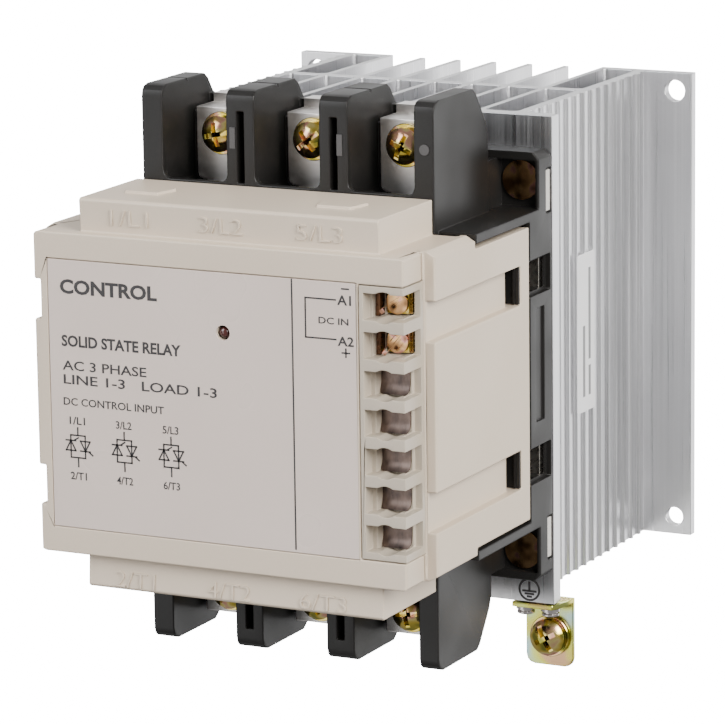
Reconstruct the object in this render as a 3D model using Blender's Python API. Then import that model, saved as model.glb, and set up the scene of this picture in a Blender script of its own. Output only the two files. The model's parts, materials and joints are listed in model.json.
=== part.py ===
"""Three-pole solid state relay on an extruded heatsink, as separate parts with real joints.

Frame: +Z up, front faces -Y. x = 0 is the middle of the width, z = 0 the middle of the
height, and y = 0 the rear plane of the heatsink's mounting flanges.
"""
import math

import bmesh
import bpy
from mathutils import Vector

MM = 0.001
GAP = 0.3                 # between two pieces that touch

# heatsink extrusion
SINK_HALF_HEIGHT = 65.0
SINK_PLATE_HALF_WIDTH = 55.0
SINK_FRONT = -85.2
SINK_PLATE_BACK = -81.0
SINK_WALL_OUT = 45.7      # valleys between the ribs
SINK_WALL_IN = 43.2
SINK_RIB = 0.8
SINK_RIB_WIDTH = 1.5
SINK_RIB_PITCH = 5.35
SINK_RIBS = 14
FIN_PITCH = 11.0
FIN_THICK = 1.6
FIN_END = -1.8
WEB_FRONT = -42.2
WEB_BACK = -39.2
FLANGE_FRONT = -3.0
FLANGE_HALF_WIDTH = 60.0
CELL_CORNER = 1.4
HOLE_X = 55.0
HOLE_Z = 60.0
UPPER_HOLE_RADIUS = 2.95
LOWER_HOLE_RADIUS = 2.6

# base plate, pad and housing
BODY_HALF_WIDTH = 55.0
HOUSING_HALF_HEIGHT = 56.7
HOUSING_BACK = SINK_FRONT - GAP
PLATE_BACK = -86.1
PLATE_FRONT = -88.6
POCKET_FLOOR = -90.8
TRAY_FRONT = -93.6
SIDE_STRIP_FRONT = -99.3
LEDGE_FRONT = -131.5
LEDGE_LOW = 39.5
LEDGE_HIGH = 42.0
BLOCK_LEFT = -38.5
BLOCK_RIGHT = 44.5
BLOCK_FRONT = -133.7
BLOCK_BACK = -101.5
POLE_PITCH = 26.5
POLE_MIDDLE = 3.25
BAY_HALF_WIDTH = 9.25
BARRIER_TOP = 75.0
BARRIER_BOTTOM = 72.0
BAY_BACK = -116.4
BAY_FLOOR = 47.8
BAY_LIP = 51.0
SHELF = 65.9             # under the terminal's bent top
REAR_SHELF = 69.4
BASE_SCREW_X = 49.0
BASE_SCREW_Z = 49.0

# front cover
COVER_FRONT = -167.0
COVER_HALF_WIDTH = 52.0
COVER_HALF_HEIGHT = 41.7
COVER_BACK = BLOCK_FRONT - GAP
STEP_BACK = -157.0        # rear end of the front block's side
PANEL_FRONT = -155.4
PANEL_STEP = -131.8
PANEL_BACK = -99.6
PANEL_HALF_HEIGHT = 38.4
PANEL_INSIDE = 50.4
STRIP_FRONT = -164.6
STRIP_TOP = 50.5
CHANNEL_LOW = 19.1
CHANNEL_HIGH = 29.2
CHANNEL_FLOOR = 52.5
WINDOW_FRONT = -109.0
WINDOW_BACK = -105.0
LED_X = 2.0
LED_Z = 19.5

# control terminals
CONTROL_LEFT = 39.9
CONTROL_HALF_HEIGHT = 34.4
CONTROL_BACK = -155.9
CONTROL_SLOTS = 7
CONTROL_PITCH = 9.72
CONTROL_FIRST = 29.2      # height of the uppermost slot's middle
CONTROL_SLOT = 6.7
CONTROL_SCREW_X = 46.5

# main terminals
BAR_FRONT = -118.0
BAR_BACK = -116.7
BAR_TOP_BACK = -108.5
BAR_HALF_WIDTH = 7.8
MAIN_SCREW_Z = 61.0
EARTH_X = 50.2
EARTH_Z = -76.0
LEG_TOP = -65.3           # the earth bracket's leg, just under the heatsink's plate
LEG_THICK = 1.3
UPRIGHT_FRONT = -76.5
BRACKET_RIGHT = 56.6

ROUND_SIDES = 20


def material(name, colour, roughness, metallic):
    made = bpy.data.materials.new(name)
    made.use_nodes = True
    shader = made.node_tree.nodes["Principled BSDF"]
    shader.inputs["Base Color"].default_value = (*colour, 1.0)
    shader.inputs["Roughness"].default_value = roughness
    shader.inputs["Metallic"].default_value = metallic
    return made


def box(x0, x1, y0, y1, z0, z1):
    """A closed box between three pairs of limits, in millimetres."""
    bm = bmesh.new()
    bmesh.ops.create_cube(bm, size=1.0)
    low = Vector((min(x0, x1), min(y0, y1), min(z0, z1)))
    high = Vector((max(x0, x1), max(y0, y1), max(z0, z1)))
    for vert in bm.verts:
        for axis in range(3):
            vert.co[axis] = low[axis] if vert.co[axis] < 0 else high[axis]
    return bm


def prism(loops, axis, start, end):
    """Extrude a flat outline with holes along X, Y or Z; loops[0] is the outline."""
    place = {"x": lambda a, b, t: (t, a, b), "y": lambda a, b, t: (a, t, b), "z": lambda a, b, t: (a, b, t)}[axis]
    bm = bmesh.new()
    for loop in loops:
        verts = [bm.verts.new(place(a, b, start)) for a, b in loop]
        for one, two in zip(verts, verts[1:] + verts[:1]):
            bm.edges.new((one, two))
    bmesh.ops.triangle_fill(bm, use_beauty=True, use_dissolve=False, edges=bm.edges[:])
    made = bmesh.ops.extrude_face_region(bm, geom=bm.faces[:])
    moved = [item for item in made["geom"] if isinstance(item, bmesh.types.BMVert)]
    for vert in moved:
        vert.co["xyz".index(axis)] = end
    bmesh.ops.recalc_face_normals(bm, faces=bm.faces[:])
    return bm


def turned(profile, x, z, sides=ROUND_SIDES):
    """Turn (radius, y) pairs about an axis along Y through x, z; ends may lie on the axis."""
    bm = bmesh.new()
    rings = []
    for radius, y in profile:
        if radius == 0.0:
            rings.append([bm.verts.new((x, y, z))])
            continue
        angles = [2.0 * math.pi * side / sides for side in range(sides)]
        rings.append([bm.verts.new((x + radius * math.cos(a), y, z + radius * math.sin(a))) for a in angles])
    for one, two in zip(rings, rings[1:]):
        for side in range(sides):
            after = (side + 1) % sides
            if len(one) == 1:
                bm.faces.new((one[0], two[side], two[after]))
            elif len(two) == 1:
                bm.faces.new((one[side], two[0], one[after]))
            else:
                bm.faces.new((one[side], two[side], two[after], one[after]))
    for ring in (rings[0], rings[-1]):
        if len(ring) > 1:
            bm.faces.new(ring)
    bmesh.ops.recalc_face_normals(bm, faces=bm.faces[:])
    return bm


def rod(x, z, radius, y0, y1, sides=ROUND_SIDES):
    return turned([(radius, y0), (radius, y1)], x, z, sides)


def tube(x, z, inner, outer, y0, y1, sides=ROUND_SIDES):
    """A plain washer: a ring with square edges."""
    bm = bmesh.new()
    rings = []
    for radius, y in ((inner, y0), (outer, y0), (outer, y1), (inner, y1)):
        angles = [2.0 * math.pi * side / sides for side in range(sides)]
        rings.append([bm.verts.new((x + radius * math.cos(a), y, z + radius * math.sin(a))) for a in angles])
    for one, two in zip(rings, rings[1:] + rings[:1]):
        for side in range(sides):
            after = (side + 1) % sides
            bm.faces.new((one[side], two[side], two[after], one[after]))
    bmesh.ops.recalc_face_normals(bm, faces=bm.faces[:])
    return bm


def rounded(a0, a1, b0, b1, radius, steps=3, corners="abcd"):
    """A rectangle's outline; corners a b c d are low-left, low-right, high-right, high-left."""
    centres = (("a", a0 + radius, b0 + radius, 180), ("b", a1 - radius, b0 + radius, 270),
               ("c", a1 - radius, b1 - radius, 0), ("d", a0 + radius, b1 - radius, 90))
    square = {"a": (a0, b0), "b": (a1, b0), "c": (a1, b1), "d": (a0, b1)}
    points = []
    for name, a, b, first in centres:
        if name not in corners:
            points.append(square[name])
            continue
        for step in range(steps + 1):
            angle = math.radians(first + 90.0 * step / steps)
            points.append((a + radius * math.cos(angle), b + radius * math.sin(angle)))
    return points


def mesh_object(name, bm):
    for vert in bm.verts:
        vert.co *= MM
    mesh = bpy.data.meshes.new(name)
    bm.to_mesh(mesh)
    bm.free()
    made = bpy.data.objects.new(name, mesh)
    bpy.context.collection.objects.link(made)
    return made


def piece(name, look, base, adds=(), cuts=()):
    """One node: a base shape with others joined to it and cutters taken away."""
    made = mesh_object(name, base)
    made.data.materials.append(look)
    for kind, shapes in (("UNION", adds), ("DIFFERENCE", cuts)):
        for number, shape in enumerate(shapes):
            tool = mesh_object(f"{name}_{kind.lower()}_{number}", shape)
            tool.hide_render = True
            tool.display_type = "WIRE"
            step = made.modifiers.new(tool.name, "BOOLEAN")
            step.operation = kind
            step.solver = "EXACT"
            step.object = tool
    return made


def hinge_origin(made, x, y, z):
    """Put a moving piece's origin on its joint's axis."""
    point = Vector((x, y, z)) * MM
    for vert in made.data.vertices:
        vert.co -= point
    made.location = point


def pole_x(pole):
    return POLE_MIDDLE + (pole - 1) * POLE_PITCH


def slot_z(slot):
    return CONTROL_FIRST - slot * CONTROL_PITCH


# ---------------------------------------------------------------- heatsink

def sink_outline():
    """Half of the closed outer outline, mirrored: plate, ribbed wall, rear flange."""
    side = [(SINK_PLATE_HALF_WIDTH, SINK_FRONT), (SINK_PLATE_HALF_WIDTH, SINK_PLATE_BACK)]
    side.append((SINK_WALL_OUT, SINK_PLATE_BACK))
    for rib in range(SINK_RIBS):
        start = SINK_PLATE_BACK + 3.6 + rib * SINK_RIB_PITCH
        tip = SINK_WALL_OUT + SINK_RIB
        side += [(SINK_WALL_OUT, start), (tip, start + 0.25), (tip, start + SINK_RIB_WIDTH - 0.25),
                 (SINK_WALL_OUT, start + SINK_RIB_WIDTH)]
    side += [(SINK_WALL_OUT, FLANGE_FRONT), (FLANGE_HALF_WIDTH, FLANGE_FRONT), (FLANGE_HALF_WIDTH, 0.0)]
    half_fin = FIN_THICK / 2
    side.append((3 * FIN_PITCH - half_fin, 0.0))
    for fin in (3, 2, 1):
        side.append((fin * FIN_PITCH - half_fin, WEB_BACK))
        side.append(((fin - 1) * FIN_PITCH + half_fin, WEB_BACK))
        if fin > 1:
            side.append(((fin - 1) * FIN_PITCH + half_fin, FIN_END))
            side.append(((fin - 1) * FIN_PITCH - half_fin, FIN_END))
    side.append((half_fin, FIN_END))
    return side + [(-x, y) for x, y in reversed(side)]


def sink_cells():
    """The closed cells: eight in front of the web, two behind it."""
    half_fin = FIN_THICK / 2
    edges = [-SINK_WALL_IN]
    for fin in range(-3, 4):
        edges += [fin * FIN_PITCH - half_fin, fin * FIN_PITCH + half_fin]
    edges.append(SINK_WALL_IN)
    cells = [rounded(a, b, SINK_PLATE_BACK, WEB_FRONT, CELL_CORNER) for a, b in zip(edges[::2], edges[1::2])]
    for a, b in ((edges[0], edges[1]), (edges[-2], edges[-1])):
        cells.append(rounded(a, b, WEB_BACK, FLANGE_FRONT, CELL_CORNER))
    return cells


def make_heatsink(looks):
    cuts = []
    for x in (-HOLE_X, HOLE_X):
        cuts.append(rod(x, HOLE_Z, UPPER_HOLE_RADIUS, -6.0, 3.0, 24))
        cuts.append(rod(x, -HOLE_Z, LOWER_HOLE_RADIUS, -6.0, 3.0, 24))
    for x in (-BASE_SCREW_X, BASE_SCREW_X):
        for z in (-BASE_SCREW_Z, BASE_SCREW_Z):
            cuts.append(rod(x, z, 2.75, SINK_FRONT - 2.0, SINK_PLATE_BACK + 2.0, 16))
    for x, y in RIVETS:
        cuts.append(upright_rod(x, y, 1.5, -SINK_HALF_HEIGHT - 2.0, -SINK_HALF_HEIGHT + 6.5))
    outline = prism([sink_outline()] + sink_cells(), "z", -SINK_HALF_HEIGHT, SINK_HALF_HEIGHT)
    piece("heatsink", looks["aluminium"], outline, cuts=cuts)
    piece("heatsink_sticker", looks["sticker"],
          box(SINK_WALL_OUT + SINK_RIB + 0.2, SINK_WALL_OUT + SINK_RIB + 0.5, -51.0, -39.8, -21.7, 21.7))


# ------------------------------------------------------- base plate and pad

def make_base_plate(looks):
    screw_holes = [(x, z) for x in (-BASE_SCREW_X, BASE_SCREW_X) for z in (-BASE_SCREW_Z, BASE_SCREW_Z)]
    tabs = [box(side * 52.0, side * 54.7, PLATE_FRONT, PLATE_BACK, low, low + 10.9)
            for side in (-1, 1) for low in (-51.5, 40.6)]
    piece("base_plate", looks["nickel"], box(-52.6, 52.6, PLATE_FRONT, PLATE_BACK, -54.0, 54.0), tabs,
          [rod(x, z, 2.75, PLATE_FRONT - 1.0, PLATE_BACK + 1.0, 16) for x, z in screw_holes])
    piece("thermal_pad", looks["pad"], box(-52.0, 52.0, -85.9, -85.4, -53.0, 53.0), (),
          [rod(x, z, 3.0, -87.0, -84.0, 16) for x, z in screw_holes])


# ---------------------------------------------------------------- housing

def barrier_profile(sign, reach):
    """Side view of the terminal block: up the front, over the barrier, down its sloping back."""
    points = [(BLOCK_FRONT, 38.0), (BLOCK_FRONT, reach - 3.0)]
    points += [(BLOCK_FRONT + 3.0 - 3.0 * math.cos(a), reach - 3.0 + 3.0 * math.sin(a))
               for a in (math.radians(30), math.radians(60), math.radians(90))]
    points += [(-110.3, reach), (-108.6, reach - 1.2), (-102.6, reach - 9.5), (BLOCK_BACK, reach - 12.5),
               (BLOCK_BACK, 38.0)]
    return [(y, sign * z) for y, z in points]


def bay_cuts(pole, sign):
    """The hollow of one terminal bay: mouth over a low lip, deep floor, open shelf behind."""
    x = pole_x(pole)
    left, right = x - BAY_HALF_WIDTH, x + BAY_HALF_WIDTH
    mouth = rounded(left, right, BAY_LIP, 90.0, 2.0, corners="ab")
    floor = rounded(left, right, BAY_FLOOR, 90.0, 2.0, corners="ab")
    shapes = []
    for outline, front, back in ((mouth, BLOCK_FRONT - 2.0, BAY_BACK - 6.0), (floor, BLOCK_FRONT + 2.0, BAY_BACK)):
        shapes.append(prism([[(a, sign * b) for a, b in outline]], "y", front, back))
    shapes.append(box(left, right, BAY_BACK - 4.0, BAR_TOP_BACK + GAP, sign * SHELF, sign * 90.0))
    shapes.append(box(left, right, BAR_TOP_BACK - 1.0, BLOCK_BACK + 2.0, sign * REAR_SHELF, sign * 90.0))
    shapes.append(box(x - 5.4, x + 5.4, BAR_FRONT - GAP, BAY_BACK, sign * 36.0, sign * (BAY_FLOOR + 1.0)))
    shapes.append(rod(x, sign * MAIN_SCREW_Z, 2.9, BAY_BACK - 1.0, -104.0))
    return shapes


def make_housing(looks):
    adds = []
    cuts = []
    for side in (-1, 1):
        adds.append(box(side * 53.0, side * BODY_HALF_WIDTH, SIDE_STRIP_FRONT, TRAY_FRONT + 1.0, -LEDGE_HIGH, LEDGE_HIGH))
        inner = BLOCK_RIGHT - 1.0 if side > 0 else BLOCK_LEFT + 1.0
        for sign in (-1, 1):
            adds.append(box(inner, side * BODY_HALF_WIDTH, LEDGE_FRONT, TRAY_FRONT + 1.0,
                            sign * LEDGE_LOW, sign * LEDGE_HIGH))
            edge = BLOCK_RIGHT - 1.3 if side > 0 else BLOCK_LEFT
            cuts.append(box(edge, side * 54.0, BLOCK_BACK + 0.2, POCKET_FLOOR, sign * LEDGE_HIGH, sign * 54.6))
            cuts.append(rod(side * BASE_SCREW_X, sign * BASE_SCREW_Z, 2.8, POCKET_FLOOR - 1.0, HOUSING_BACK, 16))
            cuts.append(box(side * 50.0, side * 57.0, PLATE_FRONT - 0.2, HOUSING_BACK + 1.0, sign * 40.2, sign * 51.9))
            cuts.append(box(side * 53.6, side * 57.0, SIDE_STRIP_FRONT - 1.0, HOUSING_BACK - 1.2,
                            sign * 20.0, sign * 29.6))
    adds.append(box(-50.1, 50.1, BLOCK_FRONT, TRAY_FRONT + 1.0, -LEDGE_LOW - 0.2, LEDGE_LOW + 0.2))
    for sign, reach in ((1, BARRIER_TOP), (-1, BARRIER_BOTTOM)):
        adds.append(box(BLOCK_LEFT + 1.0, BLOCK_RIGHT - 1.3, BLOCK_BACK - 1.0, TRAY_FRONT + 1.0,
                        sign * 38.5, sign * (HOUSING_HALF_HEIGHT - 2.0)))
        adds.append(prism([barrier_profile(sign, reach)], "x", BLOCK_LEFT, BLOCK_RIGHT))
        for pole in range(3):
            cuts += bay_cuts(pole, sign)
        for gap in (0, 1):
            slot = (pole_x(gap) + pole_x(gap + 1)) / 2
            cuts.append(box(slot - 1.0, slot + 1.1, BLOCK_FRONT - 1.0, BLOCK_FRONT + 6.0,
                            sign * 51.0, sign * (reach - 5.6)))
    cuts.append(box(-52.9, 52.9, PLATE_FRONT - 0.2, HOUSING_BACK + 1.0, -54.3, 54.3))
    cuts.append(box(-48.1, 48.1, BLOCK_FRONT - 1.0, POCKET_FLOOR - 0.4, -37.5, 37.5))
    cuts.append(box(-36.0, 42.5, POCKET_FLOOR - 1.0, PLATE_FRONT + 1.0, -33.5, 33.5))
    cuts.append(box(54.4, 57.0, -95.6, -90.6, -13.5, 16.5))
    tray = rounded(-BODY_HALF_WIDTH, BODY_HALF_WIDTH, -HOUSING_HALF_HEIGHT, HOUSING_HALF_HEIGHT, 1.8, 1)
    piece("base_housing", looks["black"], prism([tray], "y", TRAY_FRONT, HOUSING_BACK), adds, cuts)


# ------------------------------------------------------------------ cover

def make_cover(looks):
    adds = []
    cuts = []
    for side in (-1, 1):
        high = COVER_HALF_HEIGHT
        outline = [(side * 50.8, -high), (side * 52.6, -high), (side * 55.0, -high + 1.4),
                   (side * 55.0, high - 1.4), (side * 52.6, high), (side * 50.8, high)]
        adds.append(prism([outline], "y", PANEL_FRONT, PANEL_STEP))
        adds.append(box(side * PANEL_INSIDE, side * BODY_HALF_WIDTH, PANEL_STEP - 2.0, PANEL_BACK,
                        -PANEL_HALF_HEIGHT, PANEL_HALF_HEIGHT))
        cuts.append(box(side * 51.0, side * 53.0, STEP_BACK, STEP_BACK + 0.8, -50.0, 50.0))
        for sign in (-1, 1):
            low, high_z = sign * CHANNEL_LOW, sign * CHANNEL_HIGH
            cuts.append(box(side * CHANNEL_FLOOR, side * 57.0, PANEL_FRONT - 1.0, WINDOW_BACK, low, high_z))
            cuts.append(box(side * 49.0, side * 57.0, WINDOW_FRONT, WINDOW_BACK, low, high_z))
            if side < 0:
                cuts.append(box(-50.2, -57.0, COVER_FRONT - 1.0, STEP_BACK + 0.2, low, high_z))
    for sign in (-1, 1):
        strip = [(STRIP_FRONT + 0.6, sign * 40.6), (STRIP_FRONT, sign * STRIP_TOP - sign * 0.6),
                 (STRIP_FRONT + 0.6, sign * STRIP_TOP), (COVER_BACK, sign * STRIP_TOP), (COVER_BACK, sign * 40.6)]
        adds.append(prism([strip], "x", BLOCK_LEFT - 1.3, BLOCK_RIGHT - 0.2))
        cuts.append(box(BLOCK_LEFT + 1.6, BLOCK_RIGHT - 2.2, STRIP_FRONT + 2.2, COVER_BACK + 1.0,
                        sign * 38.0, sign * (STRIP_TOP - 2.0)))
    for x in (-27.3, 27.0):
        clip = [(x - 6.3, -147.6), (x - 4.6, -154.8), (x + 4.8, -154.8), (x + 6.3, -147.6)]
        adds.append(prism([clip], "z", STRIP_TOP - 1.0, STRIP_TOP + 0.7))
    cuts.append(box(-48.2, 48.2, COVER_FRONT + 2.2, COVER_BACK + 1.0, -39.5, 39.5))
    cuts.append(box(-50.05, 50.05, PANEL_FRONT + 2.0, COVER_BACK + 1.0, -39.5, 39.5))
    cuts.append(box(CONTROL_LEFT - GAP, 54.0, COVER_FRONT - 2.0, CONTROL_BACK + 0.2,
                    -CONTROL_HALF_HEIGHT - GAP, CONTROL_HALF_HEIGHT + GAP))
    cuts.append(box(30.0, 50.05, STEP_BACK, PANEL_FRONT + 3.0, -CONTROL_HALF_HEIGHT, CONTROL_HALF_HEIGHT))
    cuts.append(box(-48.2, CONTROL_LEFT - 0.4 - GAP, COVER_FRONT - 1.0, COVER_FRONT + 0.7, -34.9, 34.9))
    cuts.append(rod(LED_X, LED_Z, 1.9, COVER_FRONT - 2.0, COVER_FRONT + 4.0))
    base = box(-COVER_HALF_WIDTH, COVER_HALF_WIDTH, COVER_FRONT, COVER_BACK, -COVER_HALF_HEIGHT, COVER_HALF_HEIGHT)
    piece("front_cover", looks["beige"], base, adds, cuts)
    piece("nameplate", looks["film"], box(-48.0, CONTROL_LEFT - 0.8, COVER_FRONT, COVER_FRONT + 0.4, -34.7, 34.7),
          (), [rod(LED_X, LED_Z, 1.9, COVER_FRONT - 2.0, COVER_FRONT + 2.0)])


# ------------------------------------------------------ control terminals

def make_control_block(looks):
    cuts = []
    for slot in range(CONTROL_SLOTS):
        z = slot_z(slot)
        half = CONTROL_SLOT / 2
        cuts.append(box(CONTROL_LEFT + 1.1, 50.4, COVER_FRONT - 1.0, -163.2, z - half, z + half))
        cuts.append(box(50.0, 55.0, COVER_FRONT - 1.0, -157.4, z - half, z + half))
        back = CONTROL_BACK + 1.0 if slot < 2 else -158.6
        cuts.append(prism([rounded(43.3, 50.3, z - 3.3, z + 3.3, 0.8, 2)], "y", -165.0, back))
    base = box(CONTROL_LEFT, COVER_HALF_WIDTH, COVER_FRONT, CONTROL_BACK, -CONTROL_HALF_HEIGHT, CONTROL_HALF_HEIGHT)
    piece("control_terminal_block", looks["beige_block"], base, (), cuts)


def cross_recess(x, z, face, size, depth):
    """Two crossed bars with slanting ends, the drive of a pan head screw."""
    bars = []
    for angle in (math.radians(38), math.radians(128)):
        along = Vector((math.cos(angle), math.sin(angle)))
        across = Vector((-along.y, along.x)) * size * 0.16
        corners = []
        for one, two in ((-1, -1), (1, -1), (1, 1), (-1, 1)):
            point = along * size * 0.5 * one + across * two
            corners.append((x + point.x, z + point.y))
        bars.append(prism([corners], "y", face - 1.0, face + depth))
    return bars


def screw(name, look, x, z, seat, head_radius, head_height, shank_radius, length, moves=True):
    """A pan head screw with its head towards -Y, seated at y = seat."""
    face = seat - head_height
    profile = [(0.0, face), (head_radius * 0.55, face + 0.12 * head_height), (head_radius * 0.86, face + 0.42 * head_height),
               (head_radius, face + 0.8 * head_height), (head_radius, seat), (shank_radius, seat),
               (shank_radius, seat + length - 0.5), (shank_radius - 0.5, seat + length)]
    made = piece(name, look, turned(profile, x, z), (),
                 cross_recess(x, z, face, head_radius * 1.15, head_height * 0.55))
    if moves:
        for vert_owner in [made] + [step.object for step in made.modifiers]:
            hinge_origin(vert_owner, x, seat, z)
    return made


def make_control_terminals(looks):
    for slot, name in enumerate(("a1", "a2")):
        z = slot_z(slot)
        x = CONTROL_SCREW_X
        screw(f"control_screw_{name}", looks["chromate"], x, z, -159.0, 3.1, 3.2, 1.5, 8.0)
        clamp = piece(f"control_clamp_{name}", looks["chromate_clamp"],
                      box(x - 2.95, x + 2.95, -158.7, -157.8, z - 2.8, z + 2.8), (),
                      [rod(x, z, 1.75, -160.0, -156.5, 16)])
        for owner in [clamp] + [step.object for step in clamp.modifiers]:
            hinge_origin(owner, x, -158.7, z)
        leg = box(43.7, 44.6, -157.0, -142.1, z - 2.2, z + 2.2)
        piece(f"control_plate_{name}", looks["brass"], box(43.7, 49.9, -157.5, -156.5, z - 2.9, z + 2.9),
              (leg,), [rod(x, z, 1.8, -159.0, -155.0, 16)])


# -------------------------------------------------------- main terminals

def make_main_terminals(looks):
    for sign, group in ((1, "line"), (-1, "load")):
        for pole in range(3):
            x = pole_x(pole)
            z = sign * MAIN_SCREW_Z
            name = f"{group}_{pole + 1}"
            outline = rounded(x - BAR_HALF_WIDTH, x + BAR_HALF_WIDTH, 48.3, 67.5, 1.9, corners="ab")
            face = prism([[(a, sign * b) for a, b in outline]], "y", BAR_FRONT, BAR_BACK)
            tail = box(x - 4.9, x + 4.9, BAR_FRONT, BAR_BACK, sign * 25.0, sign * 50.0)
            top = box(x - BAR_HALF_WIDTH, x + BAR_HALF_WIDTH, BAR_FRONT, BAR_TOP_BACK, sign * 66.2, sign * 67.5)
            piece(f"terminal_{name}", looks["tin"], face, (tail, top),
                  [rod(x, z, 2.75, BAR_FRONT - 1.0, BAR_BACK + 1.0)])
            washer = piece(f"washer_{name}", looks["chromate_washer"],
                           tube(x, z, 2.7, 5.6, BAR_FRONT - 1.3, BAR_FRONT - GAP))
            hinge_origin(washer, x, BAR_FRONT - GAP, z)
            screw(f"screw_{name}", looks["chromate"], x, z, BAR_FRONT - 1.6, 4.75, 3.5, 2.35, 12.5)


# ------------------------------------------------------------- earth terminal

RIVETS = ((45.3, -81.6), (52.4, -81.6))


def upright_rod(x, y, radius, z0, z1, sides=16):
    outline = [(x + radius * math.cos(2 * math.pi * i / sides), y + radius * math.sin(2 * math.pi * i / sides))
               for i in range(sides)]
    return prism([outline], "z", z0, z1)


def make_earth(looks):
    leg_low = LEG_TOP - LEG_THICK
    leg_shape = [(42.9, SINK_FRONT - 0.3), (54.6, SINK_FRONT - 0.3), (BRACKET_RIGHT, UPRIGHT_FRONT - 3.4),
                 (BRACKET_RIGHT, UPRIGHT_FRONT + 1.3), (42.9, UPRIGHT_FRONT + 1.3)]
    leg = prism([leg_shape], "z", leg_low, LEG_TOP)
    upright_shape = rounded(42.9, BRACKET_RIGHT, -84.4, LEG_TOP, 2.6, 3, "ab")
    upright = prism([upright_shape], "y", UPRIGHT_FRONT, UPRIGHT_FRONT + 1.3)
    collar = rod(EARTH_X, EARTH_Z, 4.0, UPRIGHT_FRONT + 1.0, UPRIGHT_FRONT + 3.2)
    holes = [rod(EARTH_X, EARTH_Z, 2.7, UPRIGHT_FRONT - 1.0, UPRIGHT_FRONT + 5.0)]
    holes += [upright_rod(x, y, 1.5, leg_low - 1.0, LEG_TOP + 1.0) for x, y in RIVETS]
    piece("earth_bracket", looks["chromate_bracket"], leg, (upright, collar), holes)
    for number, (x, y) in enumerate(RIVETS, 1):
        head = upright_rod(x, y, 2.3, leg_low - 2.5, leg_low - GAP)
        shank = upright_rod(x, y, 1.2, leg_low - 1.0, -60.0)
        piece(f"earth_rivet_{number}", looks["steel"], head, (shank,))
    washer = piece("earth_washer", looks["chromate_washer"],
                   tube(EARTH_X, EARTH_Z, 2.7, 5.5, UPRIGHT_FRONT - 1.3, UPRIGHT_FRONT - GAP))
    hinge_origin(washer, EARTH_X, UPRIGHT_FRONT - GAP, EARTH_Z)
    screw("earth_screw", looks["chromate"], EARTH_X, EARTH_Z, UPRIGHT_FRONT - 1.6, 4.9, 3.5, 2.35, 10.0)


# ------------------------------------------------------------- inside parts

def make_inside(looks):
    for pole in range(3):
        x = pole_x(pole)
        piece(f"power_module_{pole + 1}", looks["module"], box(x - 11.0, x + 11.0, BAY_BACK, PLATE_FRONT - GAP, -32.0, 32.0))
        piece(f"optocoupler_{pole + 1}", looks["module"], box(x - 3.3, x + 3.3, -146.0, -142.1, -12.0, -3.0))
        piece(f"snubber_capacitor_{pole + 1}", looks["capacitor"],
              box(x - 9.0, x + 9.0, -153.5, -142.1, 4.0 if pole != 1 else 3.0, 12.0))
    piece("input_resistor", looks["ceramic"], box(28.0, 36.0, -148.0, -142.1, 20.0, 30.0))
    pillars = []
    for x in (-45.2, 45.2):
        for z in (-34.0, 34.0):
            pillars.append(rod(x, z, 1.5, -143.0, -139.0, 12))
    piece("circuit_board", looks["board"], box(-47.0, 47.0, -141.8, -140.2, -36.5, 36.5), (), pillars)
    for number, (x, z) in enumerate(((-45.2, -34.0), (-45.2, 34.0), (45.2, -34.0), (45.2, 34.0)), 1):
        profile = [(2.2, POCKET_FLOOR - 0.7), (2.2, -139.9), (1.2, -139.9), (1.2, -142.6)]
        piece(f"board_pillar_{number}", looks["steel"], turned(profile, x, z, 12))
    led = [(0.9, -142.1), (0.9, -160.0), (1.55, -160.0), (1.55, -165.8), (1.1, -166.6), (0.0, -166.9)]
    piece("status_led", looks["led"], turned(led, LED_X, LED_Z, 16))
    for column, x in (("left", -BASE_SCREW_X), ("right", BASE_SCREW_X)):
        for row, z in (("upper", BASE_SCREW_Z), ("lower", -BASE_SCREW_Z)):
            screw(f"base_screw_{row}_{column}", looks["chromate"], x, z, POCKET_FLOOR - 0.3, 4.7, 3.6, 2.35, 12.5, False)


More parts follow.
